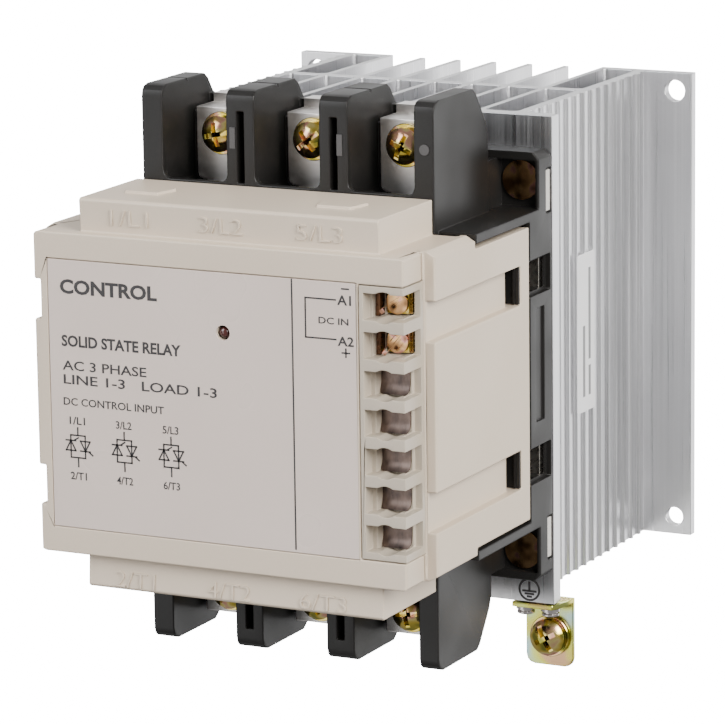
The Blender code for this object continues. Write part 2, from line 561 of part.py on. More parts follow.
def make_all():
    for old in list(bpy.data.objects):
        bpy.data.objects.remove(old, do_unlink=True)
    looks = {
        "aluminium": material("Anodised aluminium", (0.52, 0.52, 0.54), 0.42, 0.9),
        "sticker": material("White sticker", (0.85, 0.85, 0.83), 0.5, 0.0),
        "nickel": material("Nickel plate", (0.62, 0.60, 0.56), 0.3, 1.0),
        "pad": material("Thermal pad", (0.5, 0.5, 0.52), 0.8, 0.0),
        "black": material("Black polyamide", (0.035, 0.034, 0.033), 0.48, 0.0),
        "beige": material("Beige polycarbonate", (0.57, 0.51, 0.45), 0.45, 0.0),
        "beige_block": material("Beige terminal moulding", (0.55, 0.50, 0.43), 0.45, 0.0),
        "film": material("Printed film", (0.58, 0.52, 0.50), 0.3, 0.0),
        "chromate": material("Yellow chromate screw", (0.60, 0.47, 0.20), 0.25, 1.0),
        "chromate_clamp": material("Yellow chromate clamp", (0.55, 0.44, 0.22), 0.3, 1.0),
        "chromate_washer": material("Yellow chromate washer", (0.62, 0.50, 0.24), 0.3, 1.0),
        "chromate_bracket": material("Yellow chromate bracket", (0.60, 0.58, 0.28), 0.35, 1.0),
        "brass": material("Brass", (0.65, 0.48, 0.22), 0.35, 1.0),
        "tin": material("Tinned copper", (0.72, 0.70, 0.68), 0.25, 1.0),
        "steel": material("Zinc steel", (0.55, 0.55, 0.56), 0.35, 1.0),
        "module": material("Moulded epoxy", (0.03, 0.03, 0.03), 0.55, 0.0),
        "capacitor": material("Film capacitor", (0.45, 0.08, 0.05), 0.35, 0.0),
        "ceramic": material("Ceramic resistor", (0.7, 0.68, 0.62), 0.7, 0.0),
        "board": material("Circuit board", (0.05, 0.22, 0.10), 0.5, 0.0),
        "led": material("Red lens", (0.18, 0.02, 0.02), 0.15, 0.0),
    }
    make_heatsink(looks)
    make_base_plate(looks)
    make_housing(looks)
    make_cover(looks)
    make_control_block(looks)
    make_control_terminals(looks)
    make_main_terminals(looks)
    make_earth(looks)
    make_inside(looks)


make_all()
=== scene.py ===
import json
import math

import bmesh
import bpy
from mathutils import Matrix, Vector


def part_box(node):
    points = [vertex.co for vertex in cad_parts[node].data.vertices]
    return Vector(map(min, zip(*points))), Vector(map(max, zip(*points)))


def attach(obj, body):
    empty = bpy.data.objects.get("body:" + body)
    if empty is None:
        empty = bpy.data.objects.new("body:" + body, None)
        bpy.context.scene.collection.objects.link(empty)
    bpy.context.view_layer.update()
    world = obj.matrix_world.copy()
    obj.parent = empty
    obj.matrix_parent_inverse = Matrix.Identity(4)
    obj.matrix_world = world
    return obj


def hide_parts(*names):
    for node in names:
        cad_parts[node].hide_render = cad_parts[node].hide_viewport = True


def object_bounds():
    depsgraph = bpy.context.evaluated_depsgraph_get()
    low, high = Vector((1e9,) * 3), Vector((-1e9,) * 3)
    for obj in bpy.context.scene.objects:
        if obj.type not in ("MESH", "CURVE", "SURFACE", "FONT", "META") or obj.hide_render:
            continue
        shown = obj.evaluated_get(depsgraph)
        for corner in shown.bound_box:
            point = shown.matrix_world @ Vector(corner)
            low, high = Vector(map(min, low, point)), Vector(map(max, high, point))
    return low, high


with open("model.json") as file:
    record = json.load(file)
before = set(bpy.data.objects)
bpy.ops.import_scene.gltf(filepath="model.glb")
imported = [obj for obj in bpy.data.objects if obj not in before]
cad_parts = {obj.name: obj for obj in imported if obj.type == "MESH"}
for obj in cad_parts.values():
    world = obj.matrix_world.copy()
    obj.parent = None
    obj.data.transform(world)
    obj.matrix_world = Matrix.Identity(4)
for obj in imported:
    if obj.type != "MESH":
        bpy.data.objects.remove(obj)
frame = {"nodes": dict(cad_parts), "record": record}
cadLow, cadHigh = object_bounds()
nodes = frame["nodes"]
mm = 0.001
cadWeld = 0.002 * mm      # vertices of a CAD mesh nearer than this are one
pieceWeld = 0.001 * mm    # the same for the meshes made here
sunk = 0.02               # how far a flat mark reaches into the surface under it, in millimetres
bodies = frame["record"]["behaviour"]["bodies"]
bodyOf = {node: body for body, members in bodies.items() for node in members}
print("frame loaded:", len(nodes), "nodes")


def linearColour(hexCode):
    # sRGB hex to the linear values that the shaders want
    channels = [int(hexCode[i:i + 2], 16) / 255 for i in (1, 3, 5)]
    return [c / 12.92 if c <= 0.04045 else ((c + 0.055) / 1.055) ** 2.4 for c in channels] + [1.0]


def addNode(tree, kind, settings=None, links=None):
    # settings are node properties or unlinked sockets, links are socket: (other node, its output)
    made = tree.nodes.new(kind)
    for key, value in (settings or {}).items():
        if isinstance(key, str) and hasattr(made, key):
            setattr(made, key, value)
        else:
            made.inputs[key].default_value = value
    for key, (other, output) in (links or {}).items():
        tree.links.new(other.outputs[output], made.inputs[key])
    return made


def keepPiece(made, node, body=None):
    # the piece stands for a CAD node, on that node's body, or is new and rides where it is told
    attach(made, body or bodyOf[node])
    if node:
        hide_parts(node)
    return made


def meshPiece(name, mesh, material=None):
    made = bpy.data.objects.new(name, mesh)
    bpy.context.scene.collection.objects.link(made)
    if material:
        mesh.materials.clear()
        mesh.materials.append(material)
    return made


def settled(made):
    # the object's modifiers turned into a plain mesh
    bpy.context.view_layer.update()
    graph = bpy.context.evaluated_depsgraph_get()
    mesh = bpy.data.meshes.new_from_object(made.evaluated_get(graph), depsgraph=graph)
    made.modifiers.clear()
    old = made.data
    made.data = mesh
    bpy.data.meshes.remove(old)
    return made


def boxMesh(bm, x, y, z):
    # a closed box between three pairs of limits in millimetres, added to bm
    corners = [bm.verts.new((a * mm, b * mm, c * mm)) for a in x for b in y for c in z]
    for face in ((0, 1, 3, 2), (4, 6, 7, 5), (0, 4, 5, 1), (2, 3, 7, 6), (0, 2, 6, 4), (1, 5, 7, 3)):
        bm.faces.new([corners[i] for i in face])


def shadeSmooth(mesh, sharpFrom):
    # smooth shading, but for edges that turn by more than this many degrees
    mesh.shade_smooth()
    mesh.set_sharp_from_angle(angle=math.radians(sharpFrom))


# nearly all of a noise texture's values lie between these two
noiseLow = 0.3
noiseHigh = 0.7


def newFinish(name):
    made = bpy.data.materials.new(name)
    made.use_nodes = True
    tree = made.node_tree
    shader = tree.nodes["Principled BSDF"]
    place = addNode(tree, "ShaderNodeTexCoord")
    return made, tree, shader, place


def finishSurface(tree, shader, look, roughFrom, bumpFrom):
    # roughness that wanders round its middle value, and a bump from the finest grain
    low = look["rough"] - look["roughSpread"]
    high = look["rough"] + look["roughSpread"]
    rough = addNode(tree, "ShaderNodeMapRange",
                    {"From Min": noiseLow, "From Max": noiseHigh, "To Min": low, "To Max": high},
                    {"Value": (roughFrom, 0)})
    bump = addNode(tree, "ShaderNodeBump", {"Strength": look["bump"], "Distance": look["bumpMm"] * mm},
                   {"Height": (bumpFrom, 0)})
    tree.links.new(rough.outputs[0], shader.inputs["Roughness"])
    tree.links.new(bump.outputs[0], shader.inputs["Normal"])


def mouldedFinish(name, look):
    # moulded plastic: a fine spark-eroded grain, slow change of tone, here and there a duller patch
    made, tree, shader, place = newFinish(name)
    grain = addNode(tree, "ShaderNodeTexNoise", {"Scale": 1000 / look["grainMm"], "Detail": 3.0},
                    {"Vector": (place, "Object")})
    slow = addNode(tree, "ShaderNodeTexNoise", {"Scale": 1000 / look["patchMm"], "Detail": 2.0},
                   {"Vector": (place, "Object")})
    # sockets 6 and 7 of the Mix node are its two colours, output 2 the mixed one
    tone = addNode(tree, "ShaderNodeMix", {"data_type": "RGBA", 6: linearColour(look["colour"]),
                                           7: linearColour(look["second"])}, {0: (slow, 0)})
    speck = addNode(tree, "ShaderNodeMapRange",
                    {"From Min": noiseLow, "From Max": noiseHigh, "To Min": 1 - look["speck"],
                     "To Max": 1 + look["speck"]}, {"Value": (grain, 0)})
    colour = addNode(tree, "ShaderNodeVectorMath", {"operation": "SCALE"},
                     {0: (tone, 2), "Scale": (speck, 0)})
    shader.inputs["IOR"].default_value = look["ior"]
    shader.inputs["Specular IOR Level"].default_value = look.get("specular", 0.5)
    shader.inputs["Coat Weight"].default_value = look.get("coat", 0.0)
    shader.inputs["Coat Roughness"].default_value = look.get("coatRough", 0.1)
    tree.links.new(colour.outputs[0], shader.inputs["Base Color"])
    finishSurface(tree, shader, look, slow, grain)
    return made


def metalFinish(name, look, grainShare=0.6):
    # bare or plated metal: streaks along one axis, or an even mottle when the three grains are equal
    made, tree, shader, place = newFinish(name)
    stretch = addNode(tree, "ShaderNodeMapping", {"Scale": [1000 / grain for grain in look["grainMm"]]},
                      {"Vector": (place, "Object")})
    grain = addNode(tree, "ShaderNodeTexNoise",
                    {"Scale": 1.0, "Detail": look.get("detail", 4.0), "Roughness": 0.6},
                    {"Vector": (stretch, 0)})
    slow = addNode(tree, "ShaderNodeTexNoise", {"Scale": 1000 / look["patchMm"], "Detail": 2.0},
                   {"Vector": (place, "Object")})
    share = addNode(tree, "ShaderNodeMath", {"operation": "MULTIPLY", 1: 1 - grainShare}, {0: (slow, 0)})
    blend = addNode(tree, "ShaderNodeMath", {"operation": "MULTIPLY_ADD", 1: grainShare},
                    {0: (grain, 0), 2: (share, 0)})
    ramp = addNode(tree, "ShaderNodeValToRGB", None, {0: (blend, 0)})
    stops = look["colours"]
    while len(ramp.color_ramp.elements) < len(stops):
        ramp.color_ramp.elements.new(0.5)
    for stop, (at, hexCode) in zip(ramp.color_ramp.elements, stops):
        stop.position = at
        stop.color = linearColour(hexCode)
    shader.inputs["Metallic"].default_value = 1.0
    tree.links.new(ramp.outputs[0], shader.inputs["Base Color"])
    finishSurface(tree, shader, look, grain, grain)
    return made


mouldedLooks = {
    # glass-filled polyamide: deep charcoal with a soft sheen and a faint grain
    "blackPolyamide": dict(colour="#181716", second="#1F1E1D", speck=0.08, grainMm=0.45, patchMm=22,
                           rough=0.4, roughSpread=0.06, bump=0.16, bumpMm=0.05, ior=1.53, specular=0.3),
    # the same polyamide where it is worn smooth: greyer and glossier
    "wornPolyamide": dict(colour="#3A3939", second="#454343", speck=0.06, grainMm=0.45, patchMm=9, rough=0.3,
                          roughSpread=0.05, bump=0.1, bumpMm=0.03, ior=1.53),
    # polycarbonate blend: warm light beige-grey, finely spark eroded, half matt
    "beigePolycarbonate": dict(colour="#CDBEAB", second="#C7B7A3", speck=0.02, grainMm=0.4, patchMm=35,
                               rough=0.46, roughSpread=0.04, bump=0.18, bumpMm=0.04, ior=1.58),
    # the terminal comb, a shade duller and smoother than the cover
    "beigeTerminalMoulding": dict(colour="#B6AB9B", second="#ABA090", speck=0.02, grainMm=0.5, patchMm=15,
                                  rough=0.38, roughSpread=0.05, bump=0.12, bumpMm=0.04, ior=1.55),
    # printed polyester film: cooler and glossier than the plastic round it, with a slight haze
    "printedFilm": dict(colour="#CCBDB4", second="#C6B6AC", speck=0.008, grainMm=0.6, patchMm=30, rough=0.3,
                        roughSpread=0.05, bump=0.04, bumpMm=0.03, ior=1.6, coat=0.3, coatRough=0.18),
    # screen ink: near black, dead flat
    "blackInk": dict(colour="#2B292A", second="#343233", speck=0.05, grainMm=0.25, patchMm=8, rough=0.5,
                     roughSpread=0.06, bump=0.05, bumpMm=0.01, ior=1.5),
    # grey ink of the printed bars on the side label
    "greyInk": dict(colour="#79797A", second="#858586", speck=0.05, grainMm=0.25, patchMm=8, rough=0.5,
                    roughSpread=0.06, bump=0.05, bumpMm=0.01, ior=1.5),
    # paper label with a thin gloss coat
    "whiteLabel": dict(colour="#E9E9EA", second="#E0E0E2", speck=0.01, grainMm=0.3, patchMm=12, rough=0.42,
                       roughSpread=0.05, bump=0.06, bumpMm=0.02, ior=1.5),
    # the indicator's dark red-brown lens
    "redLens": dict(colour="#4A1F1A", second="#3A1714", speck=0.04, grainMm=0.8, patchMm=2.5, rough=0.12,
                    roughSpread=0.04, bump=0.02, bumpMm=0.02, ior=1.54, coat=0.6, coatRough=0.05),
    # silicone pad filled with ceramic powder: chalky blue-grey
    "thermalPad": dict(colour="#8FA0AA", second="#84959F", speck=0.04, grainMm=0.5, patchMm=9, rough=0.8,
                       roughSpread=0.05, bump=0.2, bumpMm=0.05, ior=1.45),
    # epoxy moulding compound of the power modules: matt black
    "mouldedEpoxy": dict(colour="#1E1E20", second="#26262A", speck=0.06, grainMm=0.35, patchMm=6, rough=0.55,
                         roughSpread=0.08, bump=0.25, bumpMm=0.04, ior=1.56),
    # flame-retardant polyester case of the capacitors
    "capacitorCase": dict(colour="#B9A24B", second="#AC9542", speck=0.03, grainMm=0.5, patchMm=6, rough=0.4,
                          roughSpread=0.06, bump=0.1, bumpMm=0.03, ior=1.55),
    # cemented ceramic body of the resistor
    "ceramicCase": dict(colour="#D9D6CC", second="#CFCBC0", speck=0.05, grainMm=0.3, patchMm=5, rough=0.75,
                        roughSpread=0.08, bump=0.3, bumpMm=0.05, ior=1.7),
    # glass-epoxy laminate under green solder resist
    "boardLaminate": dict(colour="#2F6B47", second="#3B7A52", speck=0.06, grainMm=0.6, patchMm=7, rough=0.32,
                          roughSpread=0.08, bump=0.12, bumpMm=0.03, ior=1.55, coat=0.3),
}

metalLooks = {
    # clear anodised extrusion: satin, with die lines running up the profile
    "anodisedAluminium": dict(grainMm=(0.7, 0.7, 90), patchMm=30, rough=0.32, roughSpread=0.07, bump=0.12,
                              bumpMm=0.05, colours=((0.3, "#DCDCDE"), (0.7, "#ECECEE"))),
    # sawn ends of the extrusion: brighter, with the saw's lines across
    "sawnAluminium": dict(grainMm=(60, 0.6, 8), patchMm=18, rough=0.42, roughSpread=0.1, bump=0.25,
                          bumpMm=0.06, colours=((0.3, "#D6D6D8"), (0.7, "#F2F2F2"))),
    # nickel plating over steel: faintly warm, soft gloss
    "nickelPlate": dict(grainMm=(1.2, 1.2, 1.2), patchMm=14, rough=0.3, roughSpread=0.06, bump=0.08,
                        bumpMm=0.03, colours=((0.3, "#B4AFA6"), (0.7, "#CFCBC3"))),
    # hot-tinned copper bar: bright, with slow ripples from the dip
    "tinnedCopper": dict(grainMm=(6, 6, 3), patchMm=9, detail=2.0, rough=0.38, roughSpread=0.06, bump=0.06,
                         bumpMm=0.08, colours=((0.3, "#EAE5E1"), (0.7, "#FBF8F5"))),
    # phosphor bronze strip, its dark brown a painted shade of the shadowed clamp in the control wells
    "shadowedBronzeCage": dict(grainMm=(2, 2, 2), patchMm=4, detail=1.0, rough=0.3, roughSpread=0.06, bump=0.05,
                       bumpMm=0.03, colours=((0.3, "#4A362B"), (0.7, "#7A5C48"))),
    # machined brass of the small terminals
    "turnedBrass": dict(grainMm=(0.5, 4, 0.5), patchMm=5, rough=0.28, roughSpread=0.06, bump=0.08,
                        bumpMm=0.03, colours=((0.3, "#A98A55"), (0.7, "#CDB382"))),
    # yellow chromate on zinc: gold that turns pink and green from place to place
    "yellowChromate": dict(grainMm=(4.2, 4.2, 4.2), patchMm=6.5, detail=1.0, rough=0.17, roughSpread=0.05,
                           bump=0.04, bumpMm=0.04,
                           colours=((0.38, "#8C8A3C"), (0.46, "#D2B851"), (0.53, "#E8D58C"),
                                    (0.58, "#DDA690"), (0.65, "#BFA05E"))),
    # the same plating on the small and the fixing screws, thinner: brown and rose
    "rosyChromate": dict(grainMm=(4.2, 4.2, 4.2), patchMm=5, detail=1.0, rough=0.2, roughSpread=0.05,
                         bump=0.04, bumpMm=0.04,
                         colours=((0.38, "#7A5A3C"), (0.46, "#B98F63"), (0.53, "#D9B07C"),
                                  (0.58, "#D29A8E"), (0.65, "#8E6752"))),
    # the yellow plating on the flat bracket, thicker: yellow-green with blue-grey and rose patches
    "thickChromate": dict(grainMm=(9, 9, 9), patchMm=13, detail=1.0, rough=0.24, roughSpread=0.06, bump=0.05,
                          bumpMm=0.04, colours=((0.38, "#A3C2C0"), (0.46, "#C6CF78"), (0.53, "#D3CE5C"),
                                                (0.6, "#D8AE84"))),
    # rolled strip of the blank contacts: a dark grey-brown that paints the shade of their pockets, and a rosy
    # tone that paints a reflected highlight
    "shadedNickelSilver": dict(grainMm=(2.5, 6, 6), patchMm=4, rough=0.34, roughSpread=0.07, bump=0.03,
                               bumpMm=0.03, colours=((0.35, "#453D3B"), (0.65, "#7C6C64"))),
    # plain zinc-plated steel of the rivets: dull blue-grey
    "zincSteel": dict(grainMm=(1.6, 1.6, 1.6), patchMm=3, detail=1.0, rough=0.22, roughSpread=0.06, bump=0.05,
                      bumpMm=0.03, colours=((0.3, "#C9C2C0"), (0.7, "#E4DEDA"))),
}
finish = {name: mouldedFinish(name, look) for name, look in mouldedLooks.items()}
finish.update({name: metalFinish(name, look) for name, look in metalLooks.items()})
# which finish each of the record's material slots gets
slotFinish = {
    "anodised_aluminium": "anodisedAluminium", "white_label": "whiteLabel", "nickel_plate": "nickelPlate",
    "thermal_pad": "thermalPad", "black_polyamide": "blackPolyamide", "printed_film": "printedFilm",
    "beige_polycarbonate": "beigePolycarbonate", "beige_terminal_moulding": "beigeTerminalMoulding",
    "brass": "turnedBrass", "yellow_chromate": "yellowChromate", "tinned_copper": "tinnedCopper",
    "zinc_steel": "zincSteel", "moulded_epoxy": "mouldedEpoxy", "capacitor_case": "capacitorCase",
    "ceramic_case": "ceramicCase", "board_laminate": "boardLaminate", "red_lens": "redLens"}
slotOf = {node: made.data.materials[0].name.split(".")[0] for node, made in nodes.items()}
print("finishes made:", len(finish))


# metres and degrees; the lens and its sensor are in millimetres
cameraPlace = dict(location=(0.51007, -1.10064, 0.23971), azimuth=26.69, elevation=12.116, roll=-0.791,
                   lens=217.15, sensor=36.0, clip=(0.01, 50.0))


def addCamera(look):
    data = bpy.data.cameras.new("studioCamera")
    data.lens = look["lens"]
    data.sensor_width = look["sensor"]
    data.clip_start, data.clip_end = look["clip"]
    azimuth, elevation, roll = (math.radians(look[key]) for key in ("azimuth", "elevation", "roll"))
    back = Vector((math.sin(azimuth) * math.cos(elevation), -math.cos(azimuth) * math.cos(elevation),
                   math.sin(elevation)))
    level = Vector((math.cos(azimuth), math.sin(azimuth), 0))
    upright = back.cross(level)
    right = math.cos(roll) * level + math.sin(roll) * upright
    up = math.cos(roll) * upright - math.sin(roll) * level
    made = bpy.data.objects.new("studioCamera", data)
    bpy.context.scene.collection.objects.link(made)
    turn = Matrix((right, up, back)).transposed().to_4x4()
    made.matrix_world = Matrix.Translation(look["location"]) @ turn
    bpy.context.scene.camera = made


studio = dict(
    softboxes=(  # name, place, size in metres, watts, colour
        ("keyRight", (1.4, -0.8, 0.8), 1.1, 66, "#FFFDFA"),
        ("fillLeft", (-1.1, -1.3, 0.9), 1.3, 30, "#FAFCFF"),
        ("overhead", (0.1, 0.3, 1.6), 1.4, 4, "#FFFFFF"),
        ("behind", (0.0, 2.2, 0.4), 3.0, 30, "#FFFFFF"),
        ("rearRight", (1.15, 2.0, -0.35), 1.0, 4.5, "#FFFFFF"),
        ("lowFront", (-0.75, -1.5, -0.25), 0.9, 4, "#FFFFFF"),
    ),
    aim=(0, -0.08, 0), sky="#FFFFFF", skyStrength=0.36, floor="#F4F4F4", floorGlow=18.0, floorHalf=7.0,
    floorGap=0.0005, fibreMm=2.0, fibreShade=0.97, floorRough=0.9)


def addStudio(look):
    for name, place, size, watts, colour in look["softboxes"]:
        light = bpy.data.lights.new(name, "AREA")
        light.shape = "SQUARE"
        light.size = size
        light.energy = watts
        light.color = linearColour(colour)[:3]
        made = bpy.data.objects.new(name, light)
        bpy.context.scene.collection.objects.link(made)
        made.location = place
        made.rotation_euler = (Vector(look["aim"]) - Vector(place)).to_track_quat("-Z", "Y").to_euler()
    world = bpy.data.worlds.new("studioSky")
    bpy.context.scene.world = world
    world.use_nodes = True
    sky = world.node_tree.nodes["Background"]
    sky.inputs["Color"].default_value = linearColour(look["sky"])
    sky.inputs["Strength"].default_value = look["skyStrength"]
    bm = bmesh.new()
    half = look["floorHalf"]
    level = cadLow.z - look["floorGap"]
    corners = ((-half, -half), (half, -half), (half, half), (-half, half))
    bm.faces.new([bm.verts.new((x, y, level)) for x, y in corners])
    mesh = bpy.data.meshes.new("studioFloor")
    bm.to_mesh(mesh)
    bm.free()
    # seamless matt paper, lit so that it stays nearly white
    paper, tree, shader, place = newFinish("seamlessPaper")
    fibre = addNode(tree, "ShaderNodeTexNoise", {"Scale": 1000 / look["fibreMm"]},
                    {"Vector": (place, "Object")})
    tone = addNode(tree, "ShaderNodeMapRange", {"To Min": look["fibreShade"], "To Max": 1.0},
                   {"Value": (fibre, 0)})
    colour = addNode(tree, "ShaderNodeVectorMath", {"operation": "SCALE", 0: linearColour(look["floor"])[:3]},
                     {"Scale": (tone, 0)})
    tree.links.new(colour.outputs[0], shader.inputs["Base Color"])
    shader.inputs["Roughness"].default_value = look["floorRough"]
    shader.inputs["Emission Color"].default_value = linearColour(look["floor"])
    shader.inputs["Emission Strength"].default_value = look["floorGlow"]
    ground = meshPiece("studioFloor", mesh, paper)
    # it glows to the eye, and doesn't light the object from below
    ground.visible_diffuse = False
    ground.visible_glossy = False
    ground.visible_shadow = False


addCamera(cameraPlace)
addStudio(studio)
print("camera and studio ready")


# faces that meet under the flat angle are made one, and edges over the sharp one are rounded (degrees);
# room is how much of its shortest neighbour an edge's round may take
softening = dict(flat=0.6, sharp=28.0, room=0.4)


def softened(node, name, width, segments=2, weigh=None, cuts=None):
    # the CAD solid with its sharp edges rounded; weigh(edge) gives an edge its share of the width
    bm = bmesh.new()
    bm.from_mesh(nodes[node].data)
    bmesh.ops.remove_doubles(bm, verts=bm.verts, dist=cadWeld)
    mesh = bpy.data.meshes.new(name)
    bm.to_mesh(mesh)
    bm.free()
    made = meshPiece(name, mesh, finish[slotFinish[slotOf[node]]])
    if cuts:
        cutMesh = bpy.data.meshes.new(name + "Cuts")
        cuts.to_mesh(cutMesh)
        cuts.free()
        tool = meshPiece(name + "Cuts", cutMesh)
        step = made.modifiers.new("cuts", "BOOLEAN")
        step.operation = "DIFFERENCE"
        step.solver = "EXACT"
        step.object = tool
        step.use_self = True
        settled(made)
        bpy.data.objects.remove(tool)
    bm = bmesh.new()
    bm.from_mesh(made.data)
    bmesh.ops.dissolve_limit(bm, angle_limit=math.radians(softening["flat"]), verts=bm.verts, edges=bm.edges)
    share = bm.edges.layers.float.new("bevel_weight_edge")
    sharp = {edge for edge in bm.edges
             if len(edge.link_faces) == 2 and edge.calc_face_angle() > math.radians(softening["sharp"])}
    for edge in sharp:
        # short neighbours get a smaller round, so that no two rounds run into each other, but a share
        # of 1 is kept whole
        near = min(other.calc_length() for vert in edge.verts for other in vert.link_edges if other in sharp)
        room = softening["room"] * near / (width * mm)
        wanted = weigh(edge) if weigh else None
        edge[share] = 1.0 if wanted == 1.0 else min(wanted or 1.0, room)
    bmesh.ops.triangulate(bm, faces=bm.faces[:], quad_method="BEAUTY", ngon_method="BEAUTY")
    bm.to_mesh(made.data)
    bm.free()
    made.data.shade_smooth()
    bevel = made.modifiers.new("softEdges", "BEVEL")
    bevel.limit_method = "WEIGHT"
    bevel.width = width * mm
    bevel.segments = segments
    bevel.use_clamp_overlap = False
    bevel.miter_outer = "MITER_ARC"
    smooth = made.modifiers.new("evenShading", "WEIGHTED_NORMAL")
    smooth.keep_sharp = False
    settled(made)
    return keepPiece(made, node)


# where the front block's four long corners run, and the share of the round that all other edges get
coverCorner = dict(x=52.0, z=41.7, slack=0.3, backEnd=-150.0, otherShare=0.3)


def coverShare(edge):
    look = coverCorner
    middle = sum((vert.co for vert in edge.verts), Vector()) / 2
    run = (edge.verts[0].co - edge.verts[1].co).normalized()
    straight = abs(run.y) > 0.99 and middle.y < look["backEnd"] * mm
    outer = all(abs(abs(value) - look[key] * mm) < look["slack"] * mm
                for key, value in (("x", middle.x), ("z", middle.z)))
    return 1.0 if straight and outer else look["otherShare"]


softened("front_cover", "coverShell", width=1.8, segments=3, weigh=coverShare)

# a narrow step across the tops of the three left barriers
barrierGroove = dict(x=(-40.0, 25.0), y=(-120.5, -119.8), z=(74.3, 77.0))
# the four side recesses go deep behind the moulding's rim
sideWell = dict(x=(48.6, 57.0), y=(-98.5, -87.6), z=(20.8, 28.8))


def housingCuts(step, well):
    bm = bmesh.new()
    boxMesh(bm, step["x"], step["y"], step["z"])
    for side in (-1, 1):
        for sign in (-1, 1):
            boxMesh(bm, sorted(side * x for x in well["x"]), well["y"], sorted(sign * z for z in well["z"]))
    return bm


softened("base_housing", "housingBlack", width=0.35, cuts=housingCuts(barrierGroove, sideWell))

sawnTilt = 0.9    # faces that look up or down more than this are the sawn ends
sink = softened("heatsink", "heatsinkExtrusion", width=0.18)
sink.data.materials.append(finish["sawnAluminium"])
for face in sink.data.polygons:
    if abs(face.normal.z) > sawnTilt:
        face.material_index = 1


# screwdriver guides sunk round every control slot, wells in the two fitted ones and pockets in the others
controlComb = dict(slots=7, fitted=2, first=29.16, pitch=9.72, front=-170.0, guideX=46.4, guideRadius=3.95,
                   guideBack=-160.0, wellLeft=41.7, wellBack=-158.9, pocketLeft=42.3, pocketBack=-159.1,
                   openRight=49.9, openFront=-163.9, openHalf=3.25)


def combCuts(look):
    bm = bmesh.new()
    radius = look["guideRadius"] * mm
    for slot in range(look["slots"]):
        z = look["first"] - slot * look["pitch"]
        left, back, guideBack = look["pocketLeft"], look["pocketBack"], look["guideBack"]
        if slot < look["fitted"]:
            left, back, guideBack = look["wellLeft"], look["wellBack"], look["wellBack"]
        depth = guideBack - look["front"]
        place = Matrix.Translation((look["guideX"] * mm, (look["front"] + depth / 2) * mm, z * mm))
        bmesh.ops.create_cone(bm, cap_ends=True, segments=32, radius1=radius, radius2=radius,
                              depth=depth * mm, matrix=place @ Matrix.Rotation(math.pi / 2, 4, "X"))
        boxMesh(bm, (left, look["openRight"]), (look["openFront"], back),
                (z - look["openHalf"], z + look["openHalf"]))
    return bm


softened("control_terminal_block", "controlComb", width=0.2, cuts=combCuts(controlComb))
softened("base_plate", "basePlateNickel", width=0.2)
softened("nameplate", "nameplateFilm", width=0.12)
bracket = softened("earth_bracket", "earthBracketChromate", width=0.25)
bracket.data.materials[0] = finish["thickChromate"]
for row in ("line", "load"):
    for pole in (1, 2, 3):
        softened(f"terminal_{row}_{pole}", f"mainBar{row.title()}{pole}", width=0.3)
print("softened pieces made")


def addOutline(bm, corners, plane, proud):
    # a flat convex shape of (x, z) corners, standing proud of a plane that faces the front
    rings = [[bm.verts.new((x * mm, y * mm, z * mm)) for x, z in corners]
             for y in (plane + sunk, plane - proud)]
    count = len(corners)
    bm.faces.new(rings[0])
    bm.faces.new(rings[1][::-1])
    for i in range(count):
        j = (i + 1) % count
        bm.faces.new((rings[0][i], rings[1][i], rings[1][j], rings[0][j]))


def addPath(bm, points, width, plane, proud):
    # straight lines from one (x, z) point to the next
    for start, end in zip(points, points[1:]):
        a = Vector(start)
        b = Vector(end)
        along = (b - a).normalized() * width / 2
        side = Vector((-along.y, along.x))
        addOutline(bm, (a - along - side, b + along - side, b + along + side, a - along + side), plane, proud)


def addRing(bm, centre, radius, width, plane, proud, steps=48):
    inner = radius - width / 2
    outer = radius + width / 2
    section = ((inner, plane + sunk), (outer, plane + sunk), (outer, plane - proud), (inner, plane - proud))
    rows = []
    for i in range(steps):
        turn = 2 * math.pi * i / steps
        rows.append([bm.verts.new(((centre[0] + r * math.cos(turn)) * mm, y * mm,
                                   (centre[1] + r * math.sin(turn)) * mm)) for r, y in section])
    for i in range(steps):
        here = rows[i]
        there = rows[(i + 1) % steps]
        for k in range(4):
            bm.faces.new((here[k], there[k], there[(k + 1) % 4], here[(k + 1) % 4]))


def addWords(bm, words, left, right, low, high, plane, proud, weight):
    # one line of lettering fitted into a rectangle on a plane that faces the front
    curve = bpy.data.curves.new("lettering", "FONT")
    curve.body = words
    curve.offset = weight
    curve.extrude = 0.5
    curve.resolution_u = 3
    holder = bpy.data.objects.new("lettering", curve)
    bpy.context.scene.collection.objects.link(holder)
    bpy.context.view_layer.update()
    graph = bpy.context.evaluated_depsgraph_get()
    mesh = bpy.data.meshes.new_from_object(holder.evaluated_get(graph), depsgraph=graph)
    bpy.data.objects.remove(holder)
    across = [vert.co.x for vert in mesh.vertices]
    upward = [vert.co.y for vert in mesh.vertices]
    wide = max(across) - min(across)
    tall = max(upward) - min(upward)
    for vert in mesh.vertices:
        x = left + (right - left) * (vert.co.x - min(across)) / wide
        z = low + (high - low) * (vert.co.y - min(upward)) / tall
        vert.co = (x * mm, (plane - proud if vert.co.z > 0 else plane + sunk) * mm, z * mm)
    bm.from_mesh(mesh)
    bpy.data.meshes.remove(mesh)


def closedPiece(name, bm, material, sharpFrom=None):
    # doubles merged, faces turned outwards, and the piece put on the fixed body
    bmesh.ops.remove_doubles(bm, verts=bm.verts, dist=pieceWeld)
    bmesh.ops.recalc_face_normals(bm, faces=bm.faces)
    mesh = bpy.data.meshes.new(name)
    bm.to_mesh(mesh)
    bm.free()
    if sharpFrom:
        shadeSmooth(mesh, sharpFrom)
    return keepPiece(meshPiece(name, mesh, finish[material]), None, "root")


